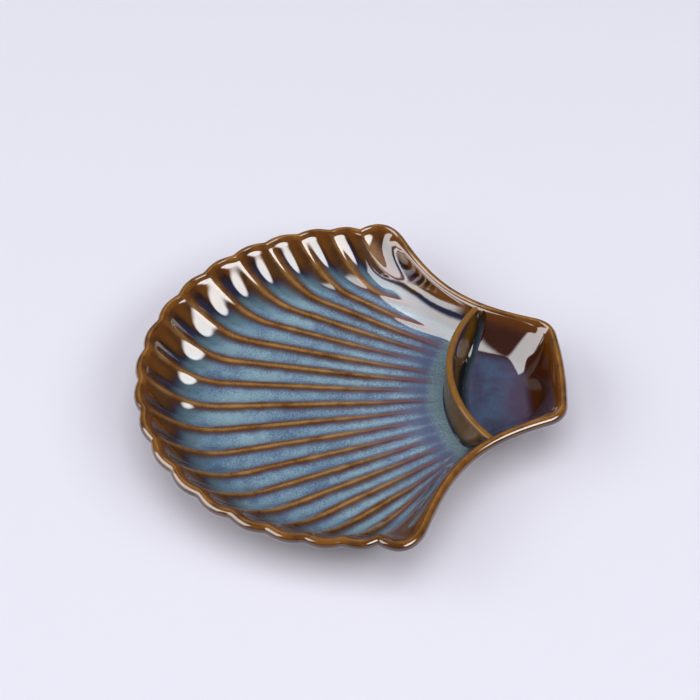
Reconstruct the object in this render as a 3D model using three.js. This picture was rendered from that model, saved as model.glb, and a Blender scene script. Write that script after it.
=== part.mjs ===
import * as THREE from 'three';

// Scallop dish with a sauce well, in millimetres: +X runs to the sauce well, +Z up.
// The plan is drawn from the centre of the fan and moved to the middle of its box at the end.

// Fan of the shell, measured to the inner edge of the lip
const FAN_RADIUS = 112.3;
const RIBS_EACH_SIDE = 9;
const RIM_OPENING = 95.2;
const RIM_CROWD = 0.076;
const LOBE_DEPTH = 2.2;

// Ribs on the floor point to a hub beyond the well
const HUB_DISTANCE = 122.6;
const FLOOR_OPENING = 43.1;
const FLOOR_CROWD = 0.068;

// Ears, hollow sides and the end of the well
const EAR_ACROSS = 21.7;
const EAR_DROP = 6.2;
const EAR_ROUND = 18.5;
const SIDE_LEAN_ALONG = 14.7;
const SIDE_LEAN_ACROSS = 34.9;
const WELL_REACH = 112.8;
const WELL_HALF_WIDTH = 32.9;
const WELL_TAPER = 0.325;
const WELL_PULL = 44.5;
const WELL_CORNER = 7;
const WELL_BOW = 0.75;

// Heights
const HEIGHT = 35.4;
const FOOT_HEIGHT = 4;
const FLOOR_THICK = 6;
const FLOOR_BOWL = 2.5;
const FLOOR_BOWL_REACH = 70;

// Walls, flutes and lip
const FAN_WALL = 42.6;
const SIDE_WALL = 24;
const WELL_WALL = 15;
const WALL_CURVE = 2.2;
const OUTER_DROP = 0.6;
const FLUTE_ON_FLOOR = 2.2;
const FLUTE_ON_WALL = 3.4;
const FLUTE_ROUND = 0.75;
const FADE_FROM = 12;
const FADE_TO = 48;
const LIP_WIDTH = 4.3;
const LIP_CROWN = 0.8;

// Divider between dish and well
const NECK_AT = 0.72;
const DIVIDER_BULGE = 19;
const DIVIDER_TO_DISH = 4.2;
const DIVIDER_TO_WELL = 8;
const DIVIDER_TOP = 4.2;
const DIVIDER_BELOW_RIM = 1.5;
const DIVIDER_SHOULDER = 1.1;
const DIVIDER_ROUND = 0.2;
const DIVIDER_LEAST = 0.1;
const DIVIDER_END_HEIGHT = 0.6;

// Oval foot
const FOOT_LENGTH = 148;
const FOOT_WIDTH = 126;
const FOOT_BAND = 6.4;
const FOOT_SHIFT = 2;
const FOOT_BEVEL = 0.7;

// Glaze
const GAP = 0.3;
const GLAZE_THIN = 0.4;
const GLAZE_POOL = 0.4;
const GLAZE_EDGE = 8.4;
const GLAZE_UP_WALL = 0.5;
const BEAD_WIDTH = 2.4;
const BEAD_HEIGHT = 2.2;
const BEAD_SPREAD = 0.62;

// Where the sheet is divided
const FLUTE_STEPS = [0, 0.16, 0.38, 0.62, 0.84];
const WELL_ROWS = [0, 0.08, 0.17, 0.3, 0.55, 0.8];
const FLOOR_ROWS = [0, 0.22, 0.46, 0.73];
const WALL_ROWS = [0, 0.28, 0.5, 0.7, 0.86, 1];

const { degToRad, smoothstep, clamp, lerp } = THREE.MathUtils;
const point = (x, y) => new THREE.Vector2(x, y);
const hub = point(HUB_DISTANCE, 0);
const sideLean = point(SIDE_LEAN_ALONG, -SIDE_LEAN_ACROSS);
const rimZ = HEIGHT - LIP_CROWN;
const floorZ = FOOT_HEIGHT + FLOOR_THICK;
const rise = rimZ - floorZ;
const last = RIBS_EACH_SIDE;

// Ribs stand at whole numbers from the axis outward, flutes between them
const spread = (k, opening, crowd) => {
  const u = k / last;
  return degToRad(opening * (u * (1 + crowd) - crowd * u ** 3));
};
const acrossFlute = (k) => Math.max(0, Math.sin(Math.PI * (Math.abs(k) % 1)));

// Plan curves of one half, inner edge of the lip
const fanRim = (k) => {
  const a = spread(k, RIM_OPENING, RIM_CROWD);
  const r = FAN_RADIUS + LOBE_DEPTH * acrossFlute(k);
  return point(-r * Math.cos(a), r * Math.sin(a));
};
const earStart = fanRim(last);
const earEnd = earStart.clone().add(point(EAR_ACROSS, -EAR_DROP));
const earTurn = earEnd.clone().addScaledVector(sideLean.clone().normalize(), -EAR_ROUND);
const ear = new THREE.QuadraticBezierCurve(earStart, earTurn, earEnd);
const wellTurn = point(WELL_REACH - 2 * WELL_BOW, WELL_HALF_WIDTH);
const wellSide = wellTurn.clone().add(point(-1, WELL_TAPER).multiplyScalar(WELL_CORNER));
const wellEnd = wellTurn.clone().add(point(WELL_BOW, -WELL_CORNER));
const corner = new THREE.QuadraticBezierCurve(wellEnd, wellTurn, wellSide);
const side = new THREE.CubicBezierCurve(
  earEnd, earEnd.clone().add(sideLean),
  wellSide.clone().add(point(-1, WELL_TAPER).multiplyScalar(WELL_PULL)), wellSide);
const sideLine = side.getPoints(90);
const neck = side.getPoint(NECK_AT);

// Arc of the divider through both neck points
const arcRadius = (neck.y ** 2 + DIVIDER_BULGE ** 2) / (2 * DIVIDER_BULGE);
const arcX = neck.x - DIVIDER_BULGE + arcRadius;
const onArc = (turn, out = 0) => point(arcX - (arcRadius + out) * Math.cos(turn), (arcRadius + out) * Math.sin(turn));
const fromHub = (r, a) => point(hub.x - r * Math.cos(a), r * Math.sin(a));
const hubToArc = (a) => {
  const m = arcX - hub.x;
  const c = m * Math.cos(a);
  return -c + Math.sqrt(c * c - m * m + arcRadius ** 2);
};

// Share of the way up the side wall, from the distance to the side; the well's wall is the steeper one
function sideShare(x, y, past) {
  let best = Infinity;
  for (let n = 1; n < sideLine.length; n++) {
    const a = sideLine[n - 1];
    const b = sideLine[n];
    const ux = b.x - a.x;
    const uy = b.y - a.y;
    const t = clamp(((x - a.x) * ux + (Math.abs(y) - a.y) * uy) / (ux * ux + uy * uy), 0, 1);
    best = Math.min(best, Math.hypot(x - a.x - t * ux, Math.abs(y) - a.y - t * uy));
  }
  const width = lerp(WELL_WALL, SIDE_WALL, clamp(0.5 + past / (2 * GLAZE_EDGE), 0, 1));
  return clamp(1 - best / width, 0, 1);
}
const wallUp = (...shares) => 1 - shares.reduce((left, s) => left * (1 - s ** WALL_CURVE), 1);
const bowl = (y) => FLOOR_BOWL * Math.min(1, (y / FLOOR_BOWL_REACH) ** 2);
const insideZ = (y, up) => floorZ + bowl(y) * (1 - up) + rise * up;
const neckZ = (turn, out) => {
  const p = onArc(turn, out);
  return insideZ(p.y, wallUp(sideShare(p.x, p.y, out)));
};

// One column of the sheet, from the end of the well to the rim of the fan
function column(k) {
  const size = Math.min(k, last);
  const edge = k > last ? k - last : 0;
  const a = spread(size, FLOOR_OPENING, FLOOR_CROWD);
  const rim = fanRim(size);
  const rimR = rim.distanceTo(hub);
  const rimA = Math.atan2(rim.y, hub.x - rim.x);
  const arcR = hubToArc(a);
  const foot = Math.max(rimR - FAN_WALL, lerp(arcR, rimR, 0.4));
  const start = fromHub(arcR, a);
  const end = point(wellEnd.x + 2 * WELL_BOW * (1 - (size / last) ** 2), (wellEnd.y * size) / last);
  const cells = [];
  for (const g of WELL_ROWS) {
    const p = end.clone().lerp(start, g);
    if (edge) {
      const miss = corner.getPoint(edge).sub(end.clone().lerp(wellSide, edge));
      p.lerp(side.getPoint(lerp(1, NECK_AT, g)), edge).addScaledVector(miss, (1 - g) ** 3);
    }
    const into = g * end.distanceTo(start);
    cells.push({ p, fan: 0, well: clamp(1 - into / WELL_WALL, 0, 1), along: into - end.distanceTo(start) });
  }
  const reach = [arcR, ...FLOOR_ROWS.map((f) => lerp(arcR + GLAZE_EDGE, foot, f))];
  const stops = reach.map((r) => [r, 0]).concat(WALL_ROWS.map((w) => [lerp(foot, rimR, w), w]));
  for (const [r, w] of stops) {
    const p = fromHub(r, a + (rimA - a) * w * w);
    if (edge) {
      const u = (r - arcR) / (rimR - arcR);
      const miss = ear.getPoint(edge).sub(earStart.clone().lerp(earEnd, edge));
      p.lerp(side.getPoint(NECK_AT * (1 - u)), edge).addScaledVector(miss, u ** 3);
    }
    cells.push({ p, fan: w, well: 0, along: r - arcR });
  }
  return cells.map(({ p, fan, well, along }) => {
    const up = edge === 1 ? 1 : wallUp(fan, well, sideShare(p.x, p.y, along));
    const deep = lerp(FLUTE_ON_FLOOR, FLUTE_ON_WALL, smoothstep(fan, 0, 0.6)) * smoothstep(along, FADE_FROM, FADE_TO);
    const flute = deep * acrossFlute(k) ** FLUTE_ROUND * (1 - up * up);
    const top = insideZ(p.y, up) - flute;
    const under = FOOT_HEIGHT + Math.max(0, rise * up - flute - OUTER_DROP);
    return { p, top, under, fan, well, along, up };
  });
}

// The whole sheet, mirrored about the axis
const steps = [];
for (let n = 0; n <= last; n++) steps.push(...FLUTE_STEPS.map((f) => n + f));
steps.push(last + 1);
const halfSheet = steps.map(column);
const flip = (cell) => ({ ...cell, p: point(cell.p.x, -cell.p.y) });
const sheet = [...halfSheet.slice(1).reverse().map((c) => c.map(flip)), ...halfSheet];
const places = [...steps.slice(1).reverse().map((k) => -k), ...steps];
const columns = sheet.length;
const rows = sheet[0].length;

// Two triangles of a cell; the diagonal is mirrored with the sheet
const split = (i, a, b, c, d) => (places[i] < 0 ? [a, b, d, a, d, c] : [a, b, c, b, d, c]);

function solid(positions, faces) {
  const shape = new THREE.BufferGeometry();
  shape.setAttribute('position', new THREE.Float32BufferAttribute(positions, 3));
  shape.setIndex(faces);
  shape.computeVertexNormals();
  return shape;
}

// Clay body: inside, underside and a rounded lip that joins them
function shellBody() {
  const positions = [];
  const faces = [];
  const add = (x, y, z) => positions.push(x, y, z) / 3 - 1;
  const top = sheet.map((c) => c.map(({ p, top: z }) => add(p.x, p.y, z)));
  const under = sheet.map((c) => c.map(({ p, under: z }) => add(p.x, p.y, z)));
  for (let i = 0; i < columns - 1; i++) {
    for (let j = 0; j < rows - 1; j++) {
      faces.push(...split(i, top[i][j], top[i + 1][j], top[i][j + 1], top[i + 1][j + 1]));
      faces.push(...split(i, under[i][j], under[i + 1][j], under[i][j + 1], under[i + 1][j + 1]).reverse());
    }
  }
  const loop = [];
  for (let i = 0; i < columns - 1; i++) loop.push([i, 0]);
  for (let j = 0; j < rows - 1; j++) loop.push([columns - 1, j]);
  for (let i = columns - 1; i > 0; i--) loop.push([i, rows - 1]);
  for (let j = rows - 1; j > 0; j--) loop.push([0, j]);
  const at = (n) => sheet[loop[n][0]][loop[n][1]].p;
  const count = loop.length;
  const outward = loop.map((_, n) => {
    const back = at(n).clone().sub(at((n + count - 1) % count)).normalize();
    const ahead = at((n + 1) % count).clone().sub(at(n)).normalize();
    const along = back.add(ahead).normalize();
    return point(along.y, -along.x);
  });
  const lip = [[0.3, LIP_CROWN], [0.72, LIP_CROWN * 0.8], [1, -0.35 * LIP_WIDTH], [0.9, -0.85 * LIP_WIDTH]];
  const rings = lip.map(([out, up]) => loop.map((_, n) => {
    const p = at(n).clone().addScaledVector(outward[n], out * LIP_WIDTH);
    return add(p.x, p.y, rimZ + up);
  }));
  rings.unshift(loop.map(([i, j]) => top[i][j]));
  rings.push(loop.map(([i, j]) => under[i][j]));
  for (let r = 0; r < rings.length - 1; r++) {
    for (let n = 0; n < count; n++) {
      const m = (n + 1) % count;
      faces.push(rings[r][n], rings[r + 1][n], rings[r + 1][m], rings[r][n], rings[r + 1][m], rings[r][m]);
    }
  }
  return solid(positions, faces);
}

// Coat of glaze over the cells that are kept, thicker where it pools in a flute
function coat(keep) {
  const positions = [];
  const faces = [];
  const known = new Map();
  const low = (i, j) => {
    const name = `${i} ${j}`;
    if (!known.has(name)) {
      const { p, top, along } = sheet[i][j];
      const z = top + GAP;
      const pool = along < 0 ? 1 : acrossFlute(places[i]);
      known.set(name, positions.push(p.x, p.y, z, p.x, p.y, z + GLAZE_THIN + GLAZE_POOL * pool) / 3 - 2);
    }
    return known.get(name);
  };
  const kept = (i, j) => i >= 0 && j >= 0 && i < columns - 1 && j < rows - 1 && keep(i, j);
  for (let i = 0; i < columns - 1; i++) {
    for (let j = 0; j < rows - 1; j++) {
      if (!kept(i, j)) continue;
      const four = [low(i, j), low(i + 1, j), low(i, j + 1), low(i + 1, j + 1)];
      faces.push(...split(i, ...four.map((v) => v + 1)), ...split(i, ...four).reverse());
      const [a, b, c, d] = four;
      const edges = [[a, b, i, j - 1], [b, d, i + 1, j], [d, c, i, j + 1], [c, a, i - 1, j]];
      for (const [u, v, ni, nj] of edges) if (!kept(ni, nj)) faces.push(u, v, v + 1, u, v + 1, u + 1);
    }
  }
  return solid(positions, faces);
}

// Body swept along the arc of the divider; section gives (out, z) points, anticlockwise seen from +Y
function alongArc(reach, count, section) {
  const positions = [];
  const faces = [];
  const rings = [];
  for (let n = 0; n <= count; n++) {
    const turn = lerp(-reach, reach, n / count);
    rings.push(section(turn).map(([out, z]) => {
      const p = onArc(turn, out);
      return positions.push(p.x, p.y, z) / 3 - 1;
    }));
  }
  const size = rings[0].length;
  for (let n = 0; n < count; n++) {
    for (let m = 0; m < size; m++) {
      const o = (m + 1) % size;
      faces.push(rings[n][m], rings[n][o], rings[n + 1][o], rings[n][m], rings[n + 1][o], rings[n + 1][m]);
    }
  }
  const flat = section(-reach).map(([out, z]) => point(out, z));
  for (const [a, b, c] of THREE.ShapeUtils.triangulateShape(flat, [])) {
    const ends = [rings[0], rings[count]];
    faces.push(ends[0][a], ends[0][c], ends[0][b], ends[1][a], ends[1][b], ends[1][c]);
  }
  return solid(positions, faces);
}

// The divider ends where the wall under its feet comes up to its crest
const dividerZ = HEIGHT - DIVIDER_BELOW_RIM;
const dividerFeet = [DIVIDER_TO_DISH, 0, -DIVIDER_TO_WELL];
const highestFoot = (turn) => Math.max(...dividerFeet.map((out) => neckZ(turn, out)));
function dividerReach() {
  let turn = 0.01;
  while (turn < 1.4 && highestFoot(turn) + GAP < dividerZ - DIVIDER_END_HEIGHT) turn += 0.002;
  return turn;
}
const neckTurn = dividerReach();
function dividerSection(turn) {
  const crown = DIVIDER_TOP / 2;
  const nearTop = dividerZ - DIVIDER_ROUND;
  const seat = (out) => neckZ(turn, out) + GAP * 1.4;
  const shoulder = (foot) => {
    const under = lerp(seat(0), seat(foot), crown / Math.abs(foot));
    return [Math.sign(foot) * crown, Math.max(dividerZ - DIVIDER_SHOULDER, under + DIVIDER_LEAST)];
  };
  return [
    ...dividerFeet.map((out) => [out, seat(out)]),
    shoulder(-DIVIDER_TO_WELL), [-crown * 0.55, nearTop], [0, dividerZ],
    [crown * 0.55, nearTop], shoulder(DIVIDER_TO_DISH),
  ].reverse();
}
const bead = (facing) => (turn) => {
  const half = facing > 0 ? DIVIDER_TO_DISH : DIVIDER_TO_WELL;
  const at = (far, up) => {
    const out = facing * (half + GAP + far);
    return [out, neckZ(turn, out) + GAP + up];
  };
  const ring = [at(0, 0), at(BEAD_WIDTH, 0), at(BEAD_WIDTH * 0.82, BEAD_HEIGHT * 0.16),
    at(BEAD_WIDTH * 0.35, BEAD_HEIGHT * 0.45), at(0, BEAD_HEIGHT)];
  return facing > 0 ? ring : ring.reverse();
};

// Foot: a turned ring drawn out to an oval
function footRing() {
  const r = FOOT_WIDTH / 2;
  const slope = FOOT_BAND * 0.12;
  const profile = [[r - FOOT_BAND, FOOT_HEIGHT], [r - FOOT_BAND + slope, FOOT_BEVEL], [r - FOOT_BAND + 2 * slope, 0],
    [r - 2 * slope, 0], [r - slope, FOOT_BEVEL], [r, FOOT_HEIGHT], [r - FOOT_BAND, FOOT_HEIGHT]];
  const ring = new THREE.LatheGeometry(profile.map(([x, y]) => point(x, y)), 54);
  ring.rotateX(Math.PI / 2);
  ring.scale(FOOT_LENGTH / FOOT_WIDTH, 1, 1);
  ring.translate(FOOT_SHIFT, 0, 0);
  return ring;
}

const flutePart = (i) => Math.abs(places[i] + places[i + 1]) / 2;
const glazed = (i, j) => {
  const cell = sheet[i][j];
  const next = sheet[i][j + 1];
  if (flutePart(i) > last || cell.along < GLAZE_EDGE * 0.94 || next.fan > GLAZE_UP_WALL + 0.01) return false;
  const p = flutePart(i) % 1;
  const onRib = p < FLUTE_STEPS[1] || p > FLUTE_STEPS[FLUTE_STEPS.length - 1];
  return !(onRib && cell.along > FADE_FROM);
};
const pooled = (i, j) => {
  const inside = [sheet[i][j], sheet[i + 1][j], sheet[i][j + 1], sheet[i + 1][j + 1]];
  return j + 1 < WELL_ROWS.length && inside.every((c) => c.up < 0.3);
};

const amber = { color: 0x6f3f14, roughness: 0.16, metalness: 0 };
const blue = { color: 0x56788f, roughness: 0.14, metalness: 0 };
const pool = { color: 0x24423f, roughness: 0.08, metalness: 0 };
const bare = { color: 0xb9a183, roughness: 0.8, metalness: 0 };
const pieces = [
  ['shell_body', shellBody(), amber],
  ['divider_wall', alongArc(neckTurn, 26, dividerSection), amber],
  ['foot_ring', footRing(), bare],
  ['dish_glaze', coat(glazed), blue],
  ['well_glaze', coat(pooled), blue],
  ['dish_seam_bead', alongArc(neckTurn * BEAD_SPREAD, 16, bead(1)), pool],
  ['well_seam_bead', alongArc(neckTurn * BEAD_SPREAD, 16, bead(-1)), pool],
];

const dish = new THREE.Group();
pieces[0][1].computeBoundingBox();
const middle = pieces[0][1].boundingBox.getCenter(new THREE.Vector3());
for (const [name, shape, finish] of pieces) {
  shape.translate(-middle.x, 0, 0);
  const mesh = new THREE.Mesh(shape, new THREE.MeshStandardMaterial(finish));
  mesh.name = name;
  dish.add(mesh);
}
export default dish;
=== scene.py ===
import math

import bmesh
import bpy
from mathutils import Matrix, Vector


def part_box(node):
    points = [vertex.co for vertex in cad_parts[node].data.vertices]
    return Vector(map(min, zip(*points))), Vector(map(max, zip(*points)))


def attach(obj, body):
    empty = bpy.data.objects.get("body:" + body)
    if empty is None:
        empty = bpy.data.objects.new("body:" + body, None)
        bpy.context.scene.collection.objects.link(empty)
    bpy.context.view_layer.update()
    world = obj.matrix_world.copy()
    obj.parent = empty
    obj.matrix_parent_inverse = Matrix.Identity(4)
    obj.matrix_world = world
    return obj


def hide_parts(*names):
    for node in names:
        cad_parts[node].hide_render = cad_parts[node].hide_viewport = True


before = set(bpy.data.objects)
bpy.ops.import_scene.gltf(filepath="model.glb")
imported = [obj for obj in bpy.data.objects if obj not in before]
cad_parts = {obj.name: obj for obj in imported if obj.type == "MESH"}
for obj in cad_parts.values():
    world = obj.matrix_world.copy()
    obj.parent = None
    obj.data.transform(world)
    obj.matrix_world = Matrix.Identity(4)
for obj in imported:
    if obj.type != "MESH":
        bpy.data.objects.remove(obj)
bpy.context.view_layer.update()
scene = bpy.context.scene
mm = 0.001
mergeWithin = 0.01 * mm
print("frame: nodes", ", ".join(sorted(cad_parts)))


class Wire:
    # one socket of a node tree: sums and products on it add Math nodes
    def __init__(self, tree, socket=None):
        self.tree = tree
        self.socket = socket

    def node(self, kind, settings=None, links=None, out=0):
        made = self.tree.nodes.new(kind)
        for name, value in (settings or {}).items():
            setattr(made, name, value)
        for name, value in (links or {}).items():
            if isinstance(value, Wire):
                self.tree.links.new(value.socket, made.inputs[name])
            else:
                made.inputs[name].default_value = value
        return Wire(self.tree, made.outputs[out])

    def math(self, operation, *values):
        return self.node("ShaderNodeMath", {"operation": operation}, dict(enumerate(values)))

    def vector(self, operation, *values, out=0):
        settings = {"operation": operation}
        return self.node("ShaderNodeVectorMath", settings, dict(enumerate(values)), out)

    def axis(self, name):
        return self.node("ShaderNodeSeparateXYZ", None, {0: self}, name)

    def __add__(self, value):
        return self.math("ADD", self, value)

    def __radd__(self, value):
        return self.math("ADD", value, self)

    def __sub__(self, value):
        return self.math("SUBTRACT", self, value)

    def __rsub__(self, value):
        return self.math("SUBTRACT", value, self)

    def __mul__(self, value):
        return self.math("MULTIPLY", self, value)

    def __rmul__(self, value):
        return self.math("MULTIPLY", value, self)

    def __truediv__(self, value):
        return self.math("DIVIDE", self, value)

    def __rtruediv__(self, value):
        return self.math("DIVIDE", value, self)

    def __pow__(self, value):
        return self.math("POWER", self, value)

    def __abs__(self):
        return self.math("ABSOLUTE", self)

    def sin(self):
        return self.math("SINE", self)

    def cos(self):
        return self.math("COSINE", self)

    def root(self):
        return self.math("SQRT", self)

    def atLeast(self, value):
        return self.math("MAXIMUM", self, value)

    def atMost(self, value):
        return self.math("MINIMUM", self, value)

    def share(self):
        return self.atLeast(0.0).atMost(1.0)

    def ramp(self, low, high):  # smooth step from low to high
        settings = {"interpolation_type": "SMOOTHSTEP"}
        return self.node("ShaderNodeMapRange", settings, {0: self, 1: low, 2: high})

    def toward(self, goal, part):  # straight blend of two numbers
        return self + (goal - self) * part


def bezier(points, t):
    # point on a Bezier curve of any degree, for a number or a wire
    rest = 1 - t
    degree = len(points) - 1
    weights = [math.comb(degree, n) * t ** n * rest ** (degree - n) for n in range(degree + 1)]
    return [sum((weight * p[axis] for weight, p in zip(weights, points)), 0.0) for axis in (0, 1)]


def startTree(name, sizes):
    tree = bpy.data.node_groups.new(name, "GeometryNodeTree")
    tree.interface.new_socket("Geometry", in_out="OUTPUT", socket_type="NodeSocketGeometry")
    for label in sizes:
        tree.interface.new_socket(label, in_out="INPUT", socket_type="NodeSocketFloat")
    source = tree.nodes.new("NodeGroupInput")
    return Wire(tree), {label: Wire(tree, source.outputs[label]) for label in sizes}


def endTree(wire, shape, material):
    smooth = wire.node("GeometryNodeSetShadeSmooth", None, {0: shape})
    single = wire.node("GeometryNodeRealizeInstances", None, {0: smooth})
    dressed = wire.node("GeometryNodeSetMaterial", None, {0: single, 2: material})
    sink = wire.tree.nodes.new("NodeGroupOutput")
    wire.tree.links.new(dressed.socket, sink.inputs[0])


def makePiece(name, wire, sizes):
    # runs the tree once and keeps its result as a plain mesh
    piece = bpy.data.objects.new(name, bpy.data.meshes.new(name + "Start"))
    scene.collection.objects.link(piece)
    modifier = piece.modifiers.new("shape", "NODES")
    modifier.node_group = wire.tree
    for item in wire.tree.interface.items_tree:
        if item.in_out == "INPUT":
            modifier[item.identifier] = float(sizes[item.name])
    graph = bpy.context.evaluated_depsgraph_get()
    result = piece.evaluated_get(graph)
    mesh = bpy.data.meshes.new_from_object(result, preserve_all_data_layers=True, depsgraph=graph)
    piece.modifiers.clear()
    piece.data = mesh
    mesh.name = name
    closeEnds(mesh)
    print("piece:", name, len(mesh.polygons), "faces")
    return piece


def closeEnds(mesh):
    # fills open ends and turns all faces outwards
    shape = bmesh.new()
    shape.from_mesh(mesh)
    edges = [edge for edge in shape.edges if edge.is_boundary]
    if edges:
        bmesh.ops.holes_fill(shape, edges=edges, sides=0)
    bmesh.ops.recalc_face_normals(shape, faces=shape.faces)
    for face in shape.faces:
        face.smooth = True
    shape.to_mesh(mesh)
    shape.free()


def gridOf(wire, columns, rows):
    # grid of points with its two shares, each from 0 to 1
    links = {"Size X": 1.0, "Size Y": 1.0, "Vertices X": columns, "Vertices Y": rows}
    grid = wire.node("GeometryNodeMeshGrid", None, links)
    position = wire.node("GeometryNodeInputPosition")
    return grid, position.axis("X") + 0.5, position.axis("Y") + 0.5


def point(wire, x, y, z):
    return wire.node("ShaderNodeCombineXYZ", None, {0: x, 1: y, 2: z})


def keep(wire, shape, marks):
    # stores each number on the points under its name
    for name, value in marks.items():
        shape = wire.node("GeometryNodeStoreNamedAttribute", None, {0: shape, 2: name, 3: value})
    return shape


def place(wire, shape, x, y, z):
    return wire.node("GeometryNodeSetPosition", None, {0: shape, 2: point(wire, x, y, z)})


def join(wire, *shapes):
    made = wire.node("GeometryNodeJoinGeometry")
    for shape in shapes:
        wire.tree.links.new(shape.socket, made.socket.node.inputs[0])
    return wire.node("GeometryNodeMergeByDistance", None, {0: made, 2: mergeWithin})


# outline from above, from the fan's centre to the inner edge of the lip
plan = {
    "fanRadius": 112.3 * mm,
    "ribsEachSide": 9,
    "rimOpening": math.radians(95.2),
    "rimCrowd": 0.076,
    "hub": 122.6 * mm,
    "floorOpening": math.radians(43.1),
    "floorCrowd": 0.068,
    "earAcross": 21.7 * mm,
    "earDrop": 6.2 * mm,
    "earRound": 18.5 * mm,
    "sideLean": Vector((14.7, -34.9)) * mm,
    "wellReach": 112.8 * mm,
    "wellHalfWidth": 32.9 * mm,
    "wellTaper": 0.325,
    "wellPull": 44.5 * mm,
    "wellCorner": 7 * mm,
    "wellBow": 0.75 * mm,
    "neckAt": 0.72,
    "dividerBulge": 19 * mm,
    "lipWidth": 4.3 * mm,
    "leastFloor": 0.4,
}

# heights, walls and flutes of the clay shell
shellSizes = {
    "height": 35.4 * mm,
    "lipCrown": 0.8 * mm,
    "footHeight": 4 * mm,
    "floorThick": 6 * mm,
    "floorBowl": 2.5 * mm,
    "bowlReach": 70 * mm,
    "fanWall": 42.6 * mm,
    "sideWall": 24 * mm,
    "wellWall": 25 * mm,
    "wallCurve": 2.2,
    "shoulder": 0.14,
    "wallBlend": 16.8 * mm,
    "outerDrop": 0.6 * mm,
    "outerRound": 0.8 * mm,
    "lobeDepth": 1.9 * mm,
    "notchRound": 0.19,
    "fluteOnFloor": 2.2 * mm,
    "fluteOnWall": 3.4 * mm,
    "fluteRound": 0.75,
    "crestRound": 0.3,
    "fadeFrom": 12 * mm,
    "fadeTo": 48 * mm,
    "outerFade": 30 * mm,
    "lipWidth": plan["lipWidth"],
}
shellGrid = {
    "stepsPerFlute": 14,
    "crowdAtRib": 0.5,
    "wellRows": 30,
    "floorRows": 34,
    "wallRows": 34,
    "lipRings": 14,
    "lipSmoothing": 24,
    "sideSteps": 90,
}
# flutes near the ears, counted in ribs from the middle: they start later and stay shallower
outerFlutes = {
    "later": (6.5, 9.0),
    "shallower": (5.5, 8.5),
    "shallowBy": 0.4,
    "earShallowBy": 0.5,
    "fullDepthUp": 0.6,
}


def spread(k, opening, crowd):
    u = k / plan["ribsEachSide"]
    return opening * (u * (1 + crowd) - crowd * u ** 3)


def planPoints():
    # fixed points of the outline, one half
    p = {}
    angle = plan["rimOpening"]
    p["earStart"] = Vector((-plan["fanRadius"] * math.cos(angle), plan["fanRadius"] * math.sin(angle)))
    p["earEnd"] = p["earStart"] + Vector((plan["earAcross"], -plan["earDrop"]))
    p["earTurn"] = p["earEnd"] - plan["sideLean"].normalized() * plan["earRound"]
    p["wellTurn"] = Vector((plan["wellReach"] - 2 * plan["wellBow"], plan["wellHalfWidth"]))
    slope = Vector((-1, plan["wellTaper"]))
    p["wellSide"] = p["wellTurn"] + slope * plan["wellCorner"]
    p["wellEnd"] = p["wellTurn"] + Vector((plan["wellBow"], -plan["wellCorner"]))
    earPull = p["earEnd"] + plan["sideLean"]
    wellPull = p["wellSide"] + slope * plan["wellPull"]
    p["side"] = [p["earEnd"], earPull, wellPull, p["wellSide"]]
    neck = Vector(bezier(p["side"], plan["neckAt"]))
    bulge = plan["dividerBulge"]
    p["arcRadius"] = (neck.y ** 2 + bulge ** 2) / (2 * bulge)
    p["arcX"] = neck.x - bulge + p["arcRadius"]
    p["neckTurn"] = math.asin(neck.y / p["arcRadius"])
    outerEnd = p["wellEnd"].x + 2 * plan["wellBow"] + plan["lipWidth"]
    p["shift"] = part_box("shell_body")[1].x - outerEnd  # fan's centre in the frame
    return p


spots = planPoints()


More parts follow.
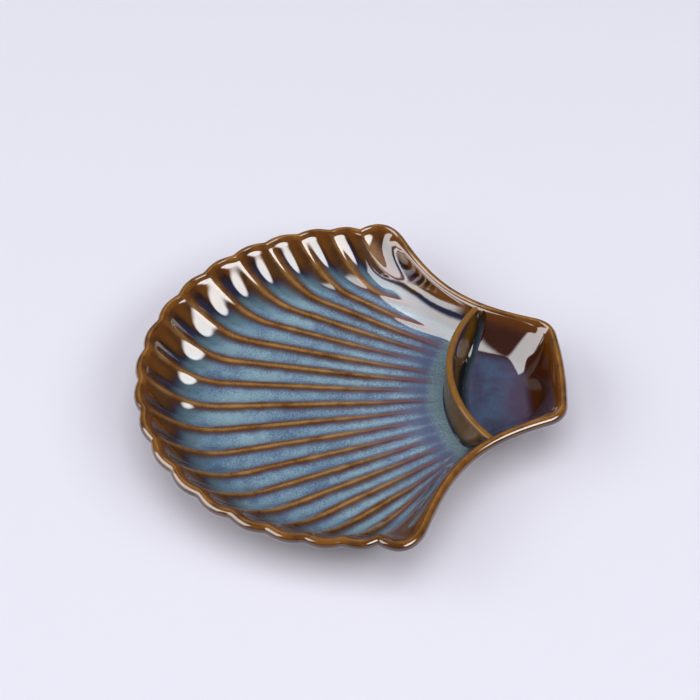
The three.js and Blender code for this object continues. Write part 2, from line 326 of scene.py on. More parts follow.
def shellTree(material):
    wire, size = startTree("shellTree", shellSizes)
    ribs = plan["ribsEachSide"]
    columns = 2 * (ribs + 1) * shellGrid["stepsPerFlute"] + 1
    rows = shellGrid["wellRows"] + shellGrid["floorRows"] + shellGrid["wallRows"] + 1
    grid, across, down = gridOf(wire, columns, rows)

    # ribs stand at whole k, columns crowd towards them
    raw = (across * 2 - 1) * (ribs + 1)
    hand = raw.math("SIGN", raw)
    part = abs(raw).math("FRACT", abs(raw))
    crowd = shellGrid["crowdAtRib"] / (2 * math.pi)
    k = abs(raw) - (part * (2 * math.pi)).sin() * crowd
    ribK = k.atMost(ribs)
    edge = (k - ribs).share()

    # shares of the way through the well, over the floor and up the fan's wall
    toArc = shellGrid["wellRows"] / (rows - 1)
    toWall = (shellGrid["wellRows"] + shellGrid["floorRows"]) / (rows - 1)
    g = (down / toArc).share()
    onFloor = ((down - toArc) / (toWall - toArc)).share()
    wall = ((down - toWall) / (1 - toWall)).share()
    inDish = down.math("GREATER_THAN", down, toArc)

    # one column: straight from the hub over the floor, then out to its lobe of the rim
    rimTurn = spread(ribK, plan["rimOpening"], plan["rimCrowd"])
    floorTurn = spread(ribK, plan["floorOpening"], plan["floorCrowd"])
    wave = (ribK * math.pi).sin()
    lobe = roundedWave(wave, size["notchRound"])
    rimRadius = lobe * size["lobeDepth"] + plan["fanRadius"]
    rimX = plan["hub"] + rimRadius * rimTurn.cos()
    rimY = rimRadius * rimTurn.sin()
    rimR = (rimX * rimX + rimY * rimY).root()
    rimA = rimY.math("ARCTAN2", rimY, rimX)
    lever = spots["arcX"] - plan["hub"]
    c = lever * floorTurn.cos()
    arcR = (c * c + (spots["arcRadius"] ** 2 - lever ** 2)).root() - c
    foot = (rimR - size["fanWall"]).atLeast(arcR.toward(rimR, plan["leastFloor"]))
    r = arcR + (foot - arcR) * onFloor + (rimR - foot) * wall
    turn = floorTurn + (rimA - floorTurn) * wall * wall
    dishX = plan["hub"] - r * turn.cos()
    dishY = r * turn.sin()

    # the well's columns run from its end to the divider
    u = ribK / ribs
    endX = spots["wellEnd"].x + 2 * plan["wellBow"] * (1 - u * u)
    endY = spots["wellEnd"].y * u
    startX = plan["hub"] - arcR * floorTurn.cos()
    startY = arcR * floorTurn.sin()
    length = ((endX - startX) * (endX - startX) + (endY - startY) * (endY - startY)).root()
    x = endX.toward(startX, g).toward(dishX, inDish)
    y = endY.toward(startY, g).toward(dishY, inDish)

    # ears and well corners: blend to the side curve
    far = (r - arcR) / (rimR - arcR)
    sideAt = (1 - g * (1 - plan["neckAt"])).toward((1 - far) * plan["neckAt"], inDish)
    sideX, sideY = bezier(spots["side"], sideAt)
    earX, earY = bulge(edge, "earStart", "earTurn", "earEnd")
    cornerX, cornerY = bulge(edge, "wellEnd", "wellTurn", "wellSide")
    hold = ((1 - g) ** 3).toward(far ** 3, inDish)
    x = x.toward(sideX, edge) + cornerX.toward(earX, inDish) * hold
    y = y.toward(sideY, edge) + cornerY.toward(earY, inDish) * hold
    along = ((g - 1) * length).toward(r - arcR, inDish)

    # height: share of the way up each wall
    ends = {n + 1: (*p, 0.0) for n, p in enumerate(spots["side"])}
    ends["Resolution"] = shellGrid["sideSteps"]
    side = wire.node("GeometryNodeCurvePrimitiveBezierSegment", None, ends)
    line = wire.node("GeometryNodeCurveToMesh", None, {0: side})
    here = point(wire, x, y, 0.0)
    nearest = wire.node("GeometryNodeProximity", {"target_element": "EDGES"}, {0: line, 2: here}, 1)
    width = size["wellWall"].toward(size["sideWall"], (along / size["wallBlend"] + 0.5).share())
    sideUp = (1 - nearest / width).share()
    wellUp = (1 - g * length / size["wellWall"]).share() * (1 - inDish)
    curve = size["wallCurve"]
    up = 1 - (1 - wall ** curve) * (1 - wellUp ** curve) * (1 - sideUp ** curve)
    up = up.math("SMOOTH_MIN", up * (1 + size["shoulder"] * 0.5), 1.0, size["shoulder"])
    rimZ = size["height"] - size["lipCrown"]
    floorZ = size["footHeight"] + size["floorThick"]
    rise = rimZ - floorZ
    outer = outerFlutes
    fadeLater = size["outerFade"] * k.ramp(*outer["later"])
    onFlat = size["fluteOnFloor"] * (1 - outer["shallowBy"] * k.ramp(*outer["shallower"]))
    deep = onFlat.toward(size["fluteOnWall"], wall.ramp(0.0, outer["fullDepthUp"]))
    deep = deep * (along - fadeLater).ramp(size["fadeFrom"], size["fadeTo"])
    deep = deep * (1 - edge * outer["earShallowBy"])
    hollow = roundedWave((k * math.pi).sin(), size["crestRound"], size["fluteRound"])
    flute = deep * hollow * (1 - up * up)
    bowl = size["floorBowl"] * ((y / size["bowlReach"]) ** 2).atMost(1.0)
    top = floorZ + bowl * (1 - up) + rise * up - flute
    raised = rise * up - flute - size["outerDrop"]
    under = size["footHeight"] + raised.math("SMOOTH_MAX", raised, 0.0, size["outerRound"])

    def fluteWidth(radius, opening, crowd):
        return radius * (opening / ribs) * (1 + crowd - 3 * crowd * u * u)

    # marks for the glaze
    floorPitch = fluteWidth(r, plan["floorOpening"], plan["floorCrowd"])
    rimPitch = fluteWidth(plan["fanRadius"], plan["rimOpening"], plan["rimCrowd"])
    pitch = floorPitch.toward(rimPitch, wall * wall)
    ribGap = k.math("PINGPONG", k, 0.5) * pitch
    farFlank = (k * (2 * math.pi)).sin() * hand
    marks = {"ribGap": ribGap, "farFlank": farFlank, "wallShare": wall, "fromDivider": along - fadeLater,
             "wallUp": up, "inWell": 1 - inDish, "lip": 0.0, "under": 0.0,
             "ribNumber": k.math("ROUND", k) * hand}
    sheet = keep(wire, grid, marks)
    handY = y * hand
    topSheet = place(wire, sheet, x + spots["shift"], handY, top)
    lowSheet = place(wire, keep(wire, sheet, {"under": 1.0}), x + spots["shift"], handY, under)
    lowSheet = wire.node("GeometryNodeFlipFaces", None, {0: lowSheet})
    lip = lipAround(wire, size, topSheet, columns, rows)
    endTree(wire, join(wire, topSheet, lip, lowSheet), material)
    return wire


def roundedWave(wave, crest, power=1.0):
    # wave from 0 at a rib to 1 between ribs, with a rounded crest
    half = power / 2
    least = (crest * crest) ** half
    return ((wave * wave + crest * crest) ** half - least) / ((crest * crest + 1) ** half - least)


def bulge(edge, start, turn, end):
    # how far a rounded corner stands off the straight line between its ends
    corner = bezier([spots[start], spots[turn], spots[end]], edge)
    line = bezier([spots[start], spots[end]], edge)
    return [a - b for a, b in zip(corner, line)]


def lipAround(wire, size, sheet, columns, rows):
    # rolled lip: a section carried round the edge of the sheet
    count = 2 * (columns - 1) + 2 * (rows - 1)
    rings = shellGrid["lipRings"] + 1

    def sample(shape, value, index, kind="FLOAT_VECTOR"):
        links = {0: shape, 1: value, 2: index}
        return wire.node("GeometryNodeSampleIndex", {"data_type": kind}, links)

    def clampTo(value, top):
        return value.atLeast(0.0).atMost(top)

    def edgeIndex(step):  # point of the sheet at this step round its edge
        n = (step + 0.5).math("FLOOR", step + 0.5)
        n = n.math("FLOORED_MODULO", n, count)
        column = clampTo(n, columns - 1) - clampTo(n - (columns + rows - 2), columns - 1)
        row = clampTo(n - (columns - 1), rows - 1) - clampTo(n - (2 * columns + rows - 3), rows - 1)
        return column * rows + row

    # which way is out at each step, smoothed round a circle with as many points
    position = wire.node("GeometryNodeInputPosition")
    index = wire.node("GeometryNodeInputIndex") + 0.0
    ahead = sample(sheet, position, edgeIndex(index + 1))
    behind = sample(sheet, position, edgeIndex(index - 1))
    along = ahead.vector("SUBTRACT", ahead, behind)
    outward = point(wire, along.axis("Y"), along.axis("X") * -1, 0.0)
    outward = outward.vector("NORMALIZE", outward)
    links = {0: outward, 1: shellGrid["lipSmoothing"], 2: 1.0}
    soft = wire.node("GeometryNodeBlurAttribute", {"data_type": "FLOAT_VECTOR"}, links)
    soft = soft.vector("NORMALIZE", soft)
    circle = wire.node("GeometryNodeMeshCircle", None, {0: count})

    grid, across, down = gridOf(wire, count + 1, rings)
    step = across * count
    edge = edgeIndex(step)
    start = sample(sheet, position, edge)
    way = sample(circle, soft, (step + 0.5).math("FLOORED_MODULO", step + 0.5, count))
    out, lift = lipSection(size, down)
    x = start.axis("X") + way.axis("X") * out
    y = start.axis("Y") + way.axis("Y") * out
    z = start.axis("Z") + lift
    marks = {}
    for name in ("ribGap", "farFlank", "wallShare", "fromDivider", "wallUp", "inWell"):
        field = wire.node("GeometryNodeInputNamedAttribute", {"data_type": "FLOAT"}, {0: name})
        marks[name] = sample(sheet, field, edge, "FLOAT")
    marks.update({"lip": down, "under": down.ramp(0.7, 1.0)})
    ring = place(wire, keep(wire, grid, marks), x, y, z)
    return wire.node("GeometryNodeFlipFaces", None, {0: ring})


def lipSection(size, down):
    # three joined curves: up over the crown, round the outer edge, back under to the wall
    # each point is a share of the lip's width and a lift
    reach = size["lipWidth"]
    crown = size["lipCrown"]
    low = (size["outerDrop"] + size["floorThick"]) * -1
    edgeDrop = crown * -3.2
    curves = [
        [(0.0, 0.0), (0.1, reach * 0.05), (0.16, crown), (0.3, crown)],
        [(0.3, crown), (0.66, crown), (1.0, crown * -1), (1.0, edgeDrop)],
        [(1.0, edgeDrop), (1.0, crown * -5.4), (0.4, low + reach * 0.5), (0.0, low)],
    ]
    inFirst = 1 - down.math("GREATER_THAN", down, 1 / 3)
    inLast = down.math("GREATER_THAN", down, 2 / 3)
    first, middle, last = [bezier(curve, (down * 3 - n).share()) for n, curve in enumerate(curves)]
    out, lift = [b.toward(a, inFirst).toward(c, inLast) for a, b, c in zip(first, middle, last)]
    return out * reach, lift


# wall between dish and well: a round-topped ridge that spreads softly at its foot
dividerSizes = {
    "toDish": 2.7 * mm,
    "toWell": 7.0 * mm,
    "crestRound": 2.1 * mm,
    "belowRim": 1.5 * mm,
    "spread": 1.7,
    "sink": 0.8 * mm,
    "seatBelow": 0.3 * mm,
    "intoRim": 0.012,
}
# points of the wall's mesh, the share of them over its top, and of these the share on a face
dividerGrid = {"steps": 140, "around": 64, "overTop": 0.9, "onFace": 0.55}


def onArc(turn, out):
    radius = spots["arcRadius"] + out
    return spots["arcX"] + spots["shift"] - radius * turn.cos(), radius * turn.sin()


def seatUnder(wire, shell, x, y):
    # height of the shell's inside straight below
    body = wire.node("GeometryNodeObjectInfo", None, {0: shell}, "Geometry")
    down = {0: body, 2: point(wire, x, y, 100 * mm), 3: (0.0, 0.0, -1.0), 4: 1.0}
    return wire.node("GeometryNodeRaycast", None, down, "Hit Position").axis("Z")


def dividerTree(shell, material):
    wire, size = startTree("dividerTree", dividerSizes)
    grid, across, down = gridOf(wire, dividerGrid["steps"] + 1, dividerGrid["around"] + 1)
    turn = (across * 2 - 1) * (size["intoRim"] + spots["neckTurn"])
    crestZ = shellSizes["height"] - size["belowRim"]
    # section from the dish's foot over the crest to the well's foot, then back along the base
    overTop = dividerGrid["overTop"]
    onFace = dividerGrid["onFace"]
    lap = (down / overTop).share() * 2 - 1
    home = ((down - overTop) / (1 - overTop)).share()
    side = lap.math("SIGN", lap) * -1
    rising = 1 - abs(lap)
    bend = ((rising - onFace) / (1 - onFace)).share() * (math.pi / 2)
    face = (rising / onFace).share()
    reach = size["toWell"].toward(size["toDish"], side * 0.5 + 0.5)
    half = size["crestRound"] * bend.cos() + (reach - size["crestRound"]) * (1 - face) ** size["spread"]
    out = (half * side).toward(size["toDish"], home)
    x, y = onArc(turn, out)
    shoulder = crestZ - size["crestRound"]
    seat = seatUnder(wire, shell, x, y).atMost(shoulder - size["seatBelow"])
    low = seat - size["sink"]
    z = low.toward(shoulder, face) + size["crestRound"] * bend.sin()
    marks = {"aboveSeat": z - seat, "crest": bend.sin(), "dishFace": side * 0.5 + 0.5}
    shape = place(wire, keep(wire, grid, marks), x, y, z)
    endTree(wire, join(wire, shape), material)
    return wire


# dark glass that ran down the divider and set along its foot
beadSizes = {
    "dishBead": {
        "facing": 1,
        "start": -0.93,
        "stop": 0.2,
        "width": 0.7 * mm,
        "height": 1.3 * mm,
        "sink": 0.6 * mm,
        "bubble": 0.55 * mm,
        "seed": 4,
    },
    "wellBead": {
        "facing": -1,
        "start": -0.7,
        "stop": 1.0,
        "width": 4.8 * mm,
        "height": 4.4 * mm,
        "sink": 0.6 * mm,
        "bubble": 0.7 * mm,
        "seed": 7,
    },
}
# points of a bead's mesh, the share of them on its open face and on each closing side
beadGrid = {"steps": 160, "around": 32, "onFace": 0.7, "closing": 0.1, "endTaper": 0.75, "intoClay": 0.55}
bubbles = {"perSquareMetre": 70000.0, "smallest": 0.3, "notBelow": 0.03}


def beadTree(name, shell, material):
    wire, size = startTree(name + "Tree", beadSizes[name])
    grid, across, down = gridOf(wire, beadGrid["steps"] + 1, beadGrid["around"] + 1)
    turn = size["start"].toward(size["stop"], across) * spots["neckTurn"]
    thin = (1 - (across * 2 - 1) ** 2) ** beadGrid["endTaper"]
    foot = dividerSizes["toDish"] if beadSizes[name]["facing"] > 0 else dividerSizes["toWell"]
    # hollow curve from the divider's face to the floor, then closed inside the clay
    onFace = beadGrid["onFace"]
    closing = beadGrid["closing"]
    slide = (down / onFace).share()
    dip = ((down - onFace) / closing).share()
    home = ((down - (onFace + closing)) / closing).share()
    rise = ((down - (onFace + 2 * closing)) / closing).share()
    inside = size["height"] * -beadGrid["intoClay"]
    far = inside.toward(size["width"] * thin, slide).toward(inside, home)
    x, y = onArc(turn, (far + foot) * size["facing"])
    lift = size["height"] * thin * (1 - slide) ** 2
    top = lift - size["sink"] * dip
    z = seatUnder(wire, shell, x, y) + top.toward(size["height"] * thin, rise)
    shape = place(wire, keep(wire, grid, {"aboveSeat": lift, "middle": thin}), x, y, z)
    endTree(wire, join(wire, shape, bubblesOn(wire, shape, size)), material)
    return wire


def bubblesOn(wire, shape, size):
    # small bubbles set into the face of the glass
    lift = wire.node("GeometryNodeInputNamedAttribute", {"data_type": "FLOAT"}, {0: "aboveSeat"})
    inOpen = lift.math("GREATER_THAN", lift, size["height"] * bubbles["notBelow"])
    links = {"Mesh": shape, "Selection": inOpen, "Seed": size["seed"]}
    links["Density"] = bubbles["perSquareMetre"]
    dots = wire.node("GeometryNodeDistributePointsOnFaces", None, links)
    links = {2: bubbles["smallest"], 3: 1.0, "Seed": size["seed"]}
    grow = wire.node("FunctionNodeRandomValue", None, links, 1)
    ball = wire.node("GeometryNodeMeshIcoSphere", None, {0: size["bubble"], 1: 2})
    balls = wire.node("GeometryNodeInstanceOnPoints", None, {0: dots, 2: ball, 6: grow})
    return wire.node("GeometryNodeRealizeInstances", None, {0: balls})


# unglazed oval ring under the shell
footSizes = {
    "length": 148 * mm,
    "width": 126 * mm,
    "band": 6.4 * mm,
    "shift": 2 * mm,
    "sink": 0.4 * mm,
}
footGrid = {"steps": 192, "around": 24, "cornerRound": 0.35, "groundShare": 0.76}


def footTree(material):
    wire, size = startTree("footTree", footSizes)
    grid, across, down = gridOf(wire, footGrid["steps"] + 1, footGrid["around"] + 1)
    angle = across * (2 * math.pi)
    around = down * (2 * math.pi)
    band = size["band"] / 2
    high = shellSizes["footHeight"] + footSizes["sink"]
    # section: a box with rounded corners, narrower where it meets the ground
    cosine = around.cos()
    sine = around.sin()
    squareX = cosine.math("SIGN", cosine) * abs(cosine) ** footGrid["cornerRound"]
    squareZ = sine.math("SIGN", sine) * abs(sine) ** footGrid["cornerRound"]
    narrow = footGrid["groundShare"]
    taper = (squareZ + 1) * ((1 - narrow) / 2) + narrow
    radius = size["width"] / 2 - band + squareX * taper * band
    oval = footSizes["length"] / footSizes["width"]
    x = radius * angle.cos() * oval + (footSizes["shift"] + spots["shift"])
    y = radius * angle.sin()
    z = (squareZ + 1) * (high / 2)
    shape = place(wire, grid, x, y, z)
    endTree(wire, join(wire, shape), material)
    return wire


def paint(red, green, blue):
    # colour as it is seen on a screen, 0 to 255, as light values
    def light(value):
        value /= 255
        return value / 12.92 if value <= 0.04045 else ((value + 0.055) / 1.055) ** 2.4

    return (light(red), light(green), light(blue), 1.0)


def startMaterial(name, fixed):
    material = bpy.data.materials.new(name)
    material.use_nodes = True
    tree = material.node_tree
    shader = tree.nodes["Principled BSDF"]
    for socket, value in fixed.items():
        shader.inputs[socket].default_value = value
    return material, Wire(tree), shader


def feed(wire, shader, sockets):
    for name, value in sockets.items():
        wire.tree.links.new(value.socket, shader.inputs[name])


def mark(wire, name):
    return wire.node("ShaderNodeAttribute", {"attribute_name": name}, None, "Fac")


def onObject(wire):
    return wire.node("ShaderNodeTexCoord", None, None, "Object")


def noise(wire, scale, detail=2.0, rough=0.5):
    links = {"Vector": onObject(wire), "Scale": scale, "Detail": detail, "Roughness": rough}
    return wire.node("ShaderNodeTexNoise", None, links)


def ripple(wire, strength, scale):
    # slight unevenness of a fired surface
    links = {"Strength": strength, "Distance": 0.3 * mm, "Height": noise(wire, scale, 2)}
    return wire.node("ShaderNodeBump", None, links)


def blend(wire, below, above, part):
    return wire.node("ShaderNodeMix", {"data_type": "RGBA"}, {0: part, 6: below, 7: above}, 2)


# colours of the shell's glazes
glazeLook = {
    "amber": paint(118, 80, 34),
    "ribTan": paint(138, 104, 72),
    "amberPale": paint(162, 122, 72),
    "lipTan": paint(170, 122, 62),
    "lipBrown": paint(122, 76, 20),
    "lipDark": paint(84, 46, 6),
    "brown": paint(98, 52, 4),
    "gold": paint(124, 76, 8),
    "outside": paint(98, 62, 26),
    "darkBrown": paint(40, 20, 6),
    "rust": paint(116, 82, 80),
    "redBrown": paint(64, 26, 10),
    "navy": paint(34, 34, 60),
    "pine": paint(66, 92, 98),
    "plum": paint(86, 66, 88),
    "violet": paint(84, 92, 128),
    "dusk": paint(66, 64, 90),
    "deepBlue": paint(72, 95, 124),
    "blue": paint(94, 121, 150),
    "teal": paint(124, 153, 166),
    "speck": paint(166, 196, 206),
    "greyGreen": paint(100, 122, 130),
}
# how they run: scales of the noise, then millimetres from the divider or a rib's crest,
# or shares of the wall's height
glazeRun = {
    "drift": 130,
    "clouds": 38,
    "mottling": 900,
    "specks": 2300,
    "blotches": 75,
    "haze": (15.0, 25.0),
    "strip": (7.0, 14.0),
    "wallStart": (0.12, 0.4),
    "navyEnd": (0.3, 0.46),
    "goldStart": (0.52, 0.95),
    "nearClimb": 0.17,
    "flankClimb": 0.08,
    "navyClimb": 0.28,
    "ribHalf": 1.4,
    "ribVaries": 0.6,
    "ribWidens": 1.6,
    "ribOnWall": 1.2,
    "ribFade": (8.0, 30.0),
    "ribRust": (30.0, 54.0),
    "ribAmber": (46.0, 84.0),
}


def shellGlaze():
    look = glazeLook
    run = glazeRun
    fixed = {"Roughness": 0.045, "IOR": 1.62, "Coat Weight": 1.0, "Coat Roughness": 0.03}
    material, wire, shader = startMaterial("shellGlaze", fixed)
    wall = mark(wire, "wallShare")
    along = mark(wire, "fromDivider") * 1000  # in millimetres, as ribGap
    up = mark(wire, "wallUp")
    lip = mark(wire, "lip")
    inWell = mark(wire, "inWell")
    ribGap = mark(wire, "ribGap") * 1000 + inWell * 50
    drift = noise(wire, run["drift"], 3) - 0.5
    broad = noise(wire, run["clouds"], 2)
    fine = noise(wire, run["mottling"], 3, 0.6)
    grain = noise(wire, run["specks"], 2, 0.65)
    blotch = noise(wire, run["blotches"], 3, 0.6)

    # blue floor: teal clouds in the flutes, pale and dark specks, violet beside the ribs
    cloud = broad * 0.8 + (fine - 0.5) * 0.55 + drift * 0.6
    near = 1 - along.ramp(24.0, 80.0)
    blue = blend(wire, look["deepBlue"], look["blue"], cloud.ramp(0.05, 0.5))
    blue = blend(wire, blue, look["teal"], (cloud + ribGap.ramp(1.5, 7.0) * 0.3).ramp(0.45, 0.95))
    speckle = (grain * 1.4 + fine * 0.5 + broad * 0.25).ramp(1.0, 1.28)
    blue = blend(wire, blue, look["speck"], speckle * (0.42 + near * 0.45) * (1 - wall.ramp(0.0, 0.25)))
    blue = blend(wire, blue, look["deepBlue"], (1 - (grain * 1.3 + fine * 0.5).ramp(0.55, 0.8)) * 0.45)
    blue = blend(wire, blue, look["violet"], (1 - (ribGap + drift * 2).ramp(1.2, 4.8)) * 0.75)
    haze = along.ramp(8.0, 14.0) * (1 - (along + drift * 10).ramp(*run["haze"]))
    blue = blend(wire, blue, look["violet"], haze * 0.55)
    strip = 1 - (along + drift * 7).ramp(*run["strip"])
    blue = blend(wire, blue, look["greyGreen"], strip * 0.85)
    blue = blend(wire, blue, look["speck"], strip * speckle * 0.4)

    # the well's floor is duskier, rusty by the divider
    dusky = blend(wire, look["dusk"], look["deepBlue"], (cloud + drift * 0.6).ramp(0.1, 0.9))
    patch = along.ramp(-16.0, -5.0) * noise(wire, 110, 1).ramp(0.45, 0.7)
    dusky = blend(wire, dusky, look["rust"], patch * 0.8)
    dusky = blend(wire, dusky, look["plum"], (1 - (along + drift * 14).ramp(-36.0, -24.0)) * 0.7)
    blue = blend(wire, blue, dusky, inWell)

    # walls: navy, then dark brown, golden towards the lip
    # the blue climbs higher on the near side, the navy on the far flank of each rib
    inDish = 1 - inWell
    nearSide = (1 - onObject(wire).axis("Y").ramp(-80 * mm, 0.0)) * inDish
    farFlank = mark(wire, "farFlank")
    climb = farFlank.ramp(-0.4, 0.6) * inDish
    height = up * (1 + inWell * 0.8) + drift * 0.14
    height = height - nearSide * run["nearClimb"] - climb * run["flankClimb"]
    dark = height - climb * run["navyClimb"]
    walls = blend(wire, look["navy"], look["darkBrown"], dark.ramp(*run["navyEnd"]))
    walls = blend(wire, walls, look["redBrown"], inWell * 0.7)
    golden = (dark + (broad - 0.5) * 0.5).ramp(*run["goldStart"])
    golden = golden.toward((up + drift * 0.2).ramp(0.6, 0.98), inWell)
    walls = blend(wire, walls, look["brown"], golden)
    # painted light: gold on the other side of each flute, standing in for its lit side
    paintedLitSide = (farFlank * -1).ramp(-0.1, 0.8) * inDish * height.ramp(0.3, 0.6)
    walls = blend(wire, walls, look["gold"], paintedLitSide * (0.15 + broad * 0.5))
    # painted reflection: a greyish pine veil at the foot of the wall
    base = blend(wire, blue, look["pine"], height.ramp(0.02, 0.14) * inDish * 0.6)
    body = blend(wire, base, walls, height.ramp(*run["wallStart"]))

    # ribs: thin amber glaze, wider up the wall, rusty where they end, with painted shade darkening the
    # near flank
    links = {"W": mark(wire, "ribNumber")}
    chance = wire.node("ShaderNodeTexWhiteNoise", {"noise_dimensions": "1D"}, links)
    half = run["ribHalf"] + chance * run["ribVaries"] + along.ramp(20.0, 70.0) * run["ribWidens"]
    half = half + wall.ramp(0.1, 0.8) * run["ribOnWall"]
    along = along + (chance - 0.5) * 16
    edge = (ribGap + drift * 1.6 + (fine - 0.5) * 0.9) / half
    fade = (along + drift * 12).ramp(*run["ribFade"])
    onRib = (1 - edge.ramp(0.35, 1.5)) * fade
    toTan = (along + drift * 20).ramp(*run["ribRust"])
    ribColour = blend(wire, look["rust"], look["ribTan"], toTan)
    toAmber = (along + (blotch - 0.5) * 60).ramp(*run["ribAmber"])
    ribColour = blend(wire, ribColour, look["amber"], toAmber)
    mottle = blotch + (fine - 0.5) * 0.35 + edge * 0.25
    ribColour = blend(wire, ribColour, look["brown"], mottle.ramp(0.45, 0.85) * along.ramp(36.0, 60.0))
    pale = (1 - edge.ramp(0.0, 0.6)) * (1 - mottle.ramp(0.3, 0.8)) * along.ramp(34.0, 60.0)
    ribColour = blend(wire, ribColour, look["amberPale"], pale * (1 - wall.ramp(0.2, 0.6) * 0.5))
    # painted shade: dark brown along the near side of each rib, standing in for the side turned from the
    # light
    paintedRibShade = (farFlank * -1).ramp(0.25, 0.7) * (1 - edge.ramp(0.9, 1.35)) * fade
    ribColour = blend(wire, ribColour, look["darkBrown"], paintedRibShade * 0.6)
    body = blend(wire, body, ribColour, onRib.atLeast(paintedRibShade * 0.35))

    # lip: tan along the crown, brown inside, dark below
    body = blend(wire, body, look["brown"], up.ramp(0.78, 0.93) * 0.6)
    crown = lip.ramp(0.1, 0.24) * (1 - lip.ramp(0.26, 0.46))
    lipColour = blend(wire, look["lipDark"], look["lipBrown"], (blotch + drift * 0.6).ramp(0.3, 0.65))
    lipColour = blend(wire, lipColour, look["lipTan"], crown * (0.5 + drift * 1.6).share())
    body = blend(wire, body, lipColour, up.ramp(0.95, 1.0))
    below = lip.ramp(0.46, 0.62) * (1 - lip.ramp(0.72, 0.9))
    body = blend(wire, body, look["darkBrown"], below * 0.85)

    # outside: the glaze breaks pale over each swell and runs dark between them
    outside = blend(wire, look["darkBrown"], look["outside"], (broad + drift).ramp(0.15, 0.6))
    swell = (ribGap + drift * 5).ramp(1.5, 6.5) * up.ramp(0.04, 0.35)
    outside = blend(wire, outside, look["amber"], swell * (0.2 + blotch * 0.9).share())
    outside = blend(wire, outside, look["darkBrown"], speckle * 0.5)
    body = blend(wire, body, outside, mark(wire, "under"))
    feed(wire, shader, {"Base Color": body, "Normal": ripple(wire, strength=0.3, scale=70)})
    return material


dividerLook = {
    "crest": paint(140, 98, 44),
    "faces": paint(100, 68, 14),
    "foot": paint(36, 26, 16),
    # seam: lavender painted as a reflection of the pale table, high on the well face and beside the crest
    "seam": paint(70, 46, 58),
}


def dividerGlaze():
    look = dividerLook
    fixed = {"Roughness": 0.1, "IOR": 1.42, "Specular IOR Level": 0.35}
    material, wire, shader = startMaterial("dividerGlaze", fixed)
    drift = noise(wire, 120, 3) - 0.5
    crest = mark(wire, "crest")
    above = mark(wire, "aboveSeat") * 1000
    inWell = 1 - mark(wire, "dishFace")
    body = blend(wire, look["foot"], look["faces"], (above + drift * 6).ramp(1.0, 9.0))
    # painted reflection: lavender of the pale table on the upper part of the well face
    body = blend(wire, body, look["seam"], inWell * (above + drift * 4).ramp(10.0, 18.0) * 0.8)
    onCrest = (crest + drift * 0.5).ramp(0.3, 0.8)
    body = blend(wire, body, look["crest"], onCrest * (0.75 + drift).share())
    # painted reflection: a lavender line beside the crest on the well side
    line = crest.ramp(0.2, 0.4) * (1 - crest.ramp(0.5, 0.75)) * inWell
    body = blend(wire, body, look["seam"], line * (0.6 + drift))
    feed(wire, shader, {"Base Color": body, "Normal": ripple(wire, strength=0.3, scale=70)})
    return material


poolLook = {
    "deep": paint(14, 20, 22),
    "pale": paint(34, 48, 54),
    "shallow": paint(62, 68, 88),
    "ends": paint(44, 24, 10),
}


def poolGlass():
    material, wire, shader = startMaterial("pooledGlass", {"Roughness": 0.04, "IOR": 1.55})
    drift = noise(wire, 160, 3) - 0.5
    thick = mark(wire, "aboveSeat") * 1000 + drift * 0.6
    body = blend(wire, poolLook["pale"], poolLook["deep"], (thick + drift).ramp(0.3, 2.0))
    body = blend(wire, poolLook["shallow"], body, thick.ramp(0.0, 0.5))
    body = blend(wire, poolLook["ends"], body, (mark(wire, "middle") + drift * 0.3).ramp(0.1, 0.45))
    feed(wire, shader, {"Base Color": body, "Normal": ripple(wire, strength=0.4, scale=90)})
    return material


bareLook = {"pale": paint(190, 168, 138), "dark": paint(166, 142, 112)}


def bareStoneware():
    material, wire, shader = startMaterial("bareStoneware", {"Roughness": 0.8, "IOR": 1.45})
    patchy = noise(wire, 160, 3).ramp(0.3, 0.7)
    body = blend(wire, bareLook["dark"], bareLook["pale"], patchy)
    feed(wire, shader, {"Base Color": body, "Normal": ripple(wire, strength=0.4, scale=90)})
    return material


shellFinish = shellGlaze()
dividerFinish = dividerGlaze()
poolFinish = poolGlass()
bareFinish = bareStoneware()
print("finishes: shell glaze, divider glaze, pooled glass, bare stoneware")

shell = makePiece("shell", shellTree(shellFinish), shellSizes)
divider = makePiece("divider", dividerTree(shell, dividerFinish), dividerSizes)
dishBead = makePiece("dishBead", beadTree("dishBead", shell, poolFinish), beadSizes["dishBead"])
wellBead = makePiece("wellBead", beadTree("wellBead", shell, poolFinish), beadSizes["wellBead"])
foot = makePiece("foot", footTree(bareFinish), footSizes)

standsFor = [
    (shell, "amber_glaze", ["shell_body", "dish_glaze", "well_glaze"]),
    (divider, "amber_glaze", ["divider_wall"]),
    (dishBead, "pooled_glaze", ["dish_seam_bead"]),
    (wellBead, "pooled_glaze", ["well_seam_bead"]),
    (foot, "bare_stoneware", ["foot_ring"]),
]
for piece, slot, nodes in standsFor:
    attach(piece, "root")
    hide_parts(*nodes)


# table, light and camera
stageLook = {
    "tableColour": paint(225, 224, 236),
    "tableSize": 8.0,
    "fadeFrom": 0.7,
    "fadeTo": 1.4,
    "roomColour": paint(234, 234, 247),
    "roomStrength": 0.1,
}
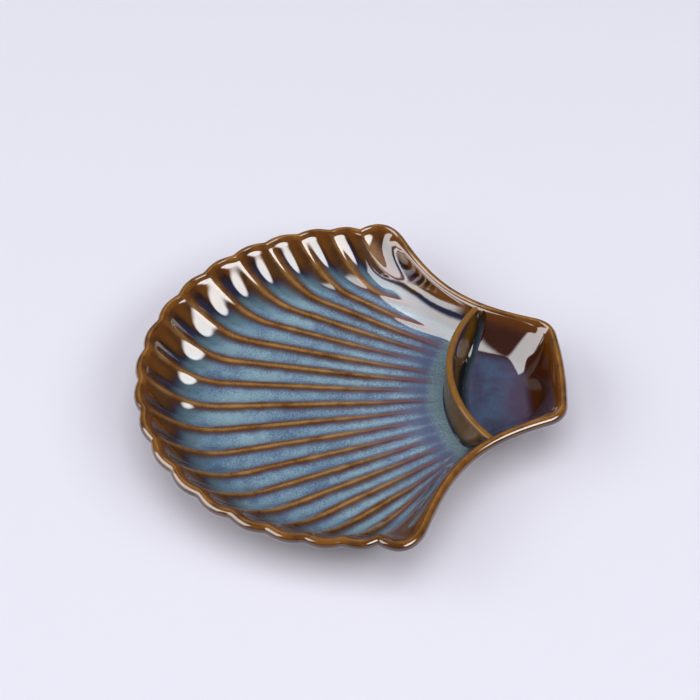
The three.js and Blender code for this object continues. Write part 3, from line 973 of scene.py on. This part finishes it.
# soft boxes round the table: where each stands, its size in metres, its brightness, the share
# of it that is evenly bright, and what it does: mirrored in the glaze, or lighting all the rest
softBoxes = {
    "rightBox": {"shape": "ELLIPSE", "azimuth": -42, "elevation": 38.5, "distance": 4.0,
                 "wide": 4.2, "high": 2.1, "roll": 14, "glow": 6.2, "even": 0.6, "does": "mirrored"},
    "rightFill": {"shape": "ELLIPSE", "azimuth": -34, "elevation": 42, "distance": 4.0,
                  "wide": 3.8, "high": 1.9, "roll": 0, "glow": 3.2, "even": 1.0, "does": "lighting"},
    "leftBox": {"shape": "RECTANGLE", "azimuth": 193, "elevation": 34, "distance": 4.0,
                "wide": 5.2, "high": 3.1, "roll": 0, "glow": 4.3, "even": 0.78, "does": "mirrored"},
    "leftFill": {"shape": "RECTANGLE", "azimuth": 195, "elevation": 40, "distance": 4.0,
                 "wide": 5.0, "high": 2.3, "roll": 0, "glow": 2.5, "even": 1.0, "does": "lighting"},
    "lowBox": {"shape": "RECTANGLE", "azimuth": 186, "elevation": 7.2, "distance": 4.0,
               "wide": 4.29, "high": 0.38, "roll": 0, "glow": 4.2, "even": 0.6, "does": "mirrored"},
    "topBox": {"shape": "RECTANGLE", "azimuth": 270, "elevation": 80, "distance": 4.5,
               "wide": 3.7, "high": 3.7, "roll": 0, "glow": 2.6, "even": 1.0, "does": "lighting"},
}
cameraPlace = {
    "azimuth": math.radians(-2.02),
    "elevation": math.radians(46.6),
    "aim": Vector((0.0, 0.0, 11.6 * mm)),
    "distance": 1.0,
    "rise": 28.1 * mm,
    "focal": 1800 / 700,  # in picture widths
    "sensor": 36,
}


def makeTable():
    half = stageLook["tableSize"] / 2
    mesh = bpy.data.meshes.new("table")
    corners = [(-half, -half, 0), (half, -half, 0), (half, half, 0), (-half, half, 0)]
    mesh.from_pydata(corners, [], [(0, 1, 2, 3)])
    table = bpy.data.objects.new("table", mesh)
    scene.collection.objects.link(table)
    fixed = {"Base Color": stageLook["tableColour"], "Roughness": 0.9, "Specular IOR Level": 0.0}
    material, wire, shader = startMaterial("tableTop", fixed)
    # far off, the camera alone sees the table as pale as the room
    where = onObject(wire)
    away = where.vector("LENGTH", where, out="Value")
    seen = wire.node("ShaderNodeLightPath", None, None, "Is Camera Ray")
    pale = wire.node("ShaderNodeEmission", None, {0: stageLook["roomColour"], 1: 1.0})
    part = away.ramp(stageLook["fadeFrom"], stageLook["fadeTo"]) * seen
    near = Wire(wire.tree, shader.outputs[0])
    both = wire.node("ShaderNodeMixShader", None, {0: part, 1: near, 2: pale})
    wire.tree.links.new(both.socket, wire.tree.nodes["Material Output"].inputs[0])
    mesh.materials.append(material)


def makeLight(name, box):
    data = bpy.data.lights.new(name, "AREA")
    data.shape = box["shape"]
    data.size = box["wide"]
    data.size_y = box["high"]
    data.energy = box["glow"] * math.pi * box["wide"] * box["high"]
    lamp = bpy.data.objects.new(name, data)
    a = math.radians(box["azimuth"])
    e = math.radians(box["elevation"])
    way = Vector((math.cos(a) * math.cos(e), math.sin(a) * math.cos(e), math.sin(e)))
    facing = way.to_track_quat("Z", "Y").to_matrix().to_4x4()
    roll = Matrix.Rotation(math.radians(box["roll"]), 4, "Z")
    lamp.matrix_world = Matrix.Translation(way * box["distance"]) @ facing @ roll
    lamp.visible_glossy = box["does"] != "lighting"
    lamp.visible_diffuse = box["does"] != "mirrored"
    scene.collection.objects.link(lamp)
    if box["even"] < 1.0:
        dimEdges(data, box)


def dimEdges(data, box):
    # a soft box is brightest in the middle and falls off towards its edge
    data.use_nodes = True
    wire = Wire(data.node_tree)
    face = wire.node("ShaderNodeNewGeometry", None, None, "Parametric")
    x = face.axis("X") * 2 - 1
    y = face.axis("Y") * 2 - 1
    far = (x * x + y * y).root() if box["shape"] == "ELLIPSE" else abs(x).atLeast(abs(y))
    glow = 1 - far.ramp(box["even"], 1.0)
    wire.tree.links.new(glow.socket, wire.tree.nodes["Emission"].inputs["Strength"])


def makeRoom():
    # dim light from all round; the camera alone sees it as pale as the table
    world = bpy.data.worlds.new("room")
    scene.world = world
    world.use_nodes = True
    wire = Wire(world.node_tree)
    seen = wire.node("ShaderNodeLightPath", None, None, "Is Camera Ray")
    back = world.node_tree.nodes["Background"]
    back.inputs["Color"].default_value = stageLook["roomColour"]
    strength = seen * (1.0 - stageLook["roomStrength"]) + stageLook["roomStrength"]
    world.node_tree.links.new(strength.socket, back.inputs["Strength"])


def makeCamera():
    a = cameraPlace["azimuth"]
    e = cameraPlace["elevation"]
    back = Vector((math.sin(a) * math.cos(e), -math.cos(a) * math.cos(e), math.sin(e)))
    right = Vector((math.cos(a), math.sin(a), 0.0))
    upward = back.cross(right)
    data = bpy.data.cameras.new("camera")
    data.lens = cameraPlace["focal"] * cameraPlace["sensor"]
    data.sensor_width = cameraPlace["sensor"]
    camera = bpy.data.objects.new("camera", data)
    turn = Matrix((right, upward, back)).transposed().to_4x4()
    eye = cameraPlace["aim"] + back * cameraPlace["distance"] + upward * cameraPlace["rise"]
    camera.matrix_world = Matrix.Translation(eye) @ turn
    scene.collection.objects.link(camera)
    scene.camera = camera


makeTable()
for name, box in softBoxes.items():
    makeLight(name, box)
makeRoom()
makeCamera()
scene.view_settings.view_transform = "Standard"
print("stage: table, soft boxes, camera")
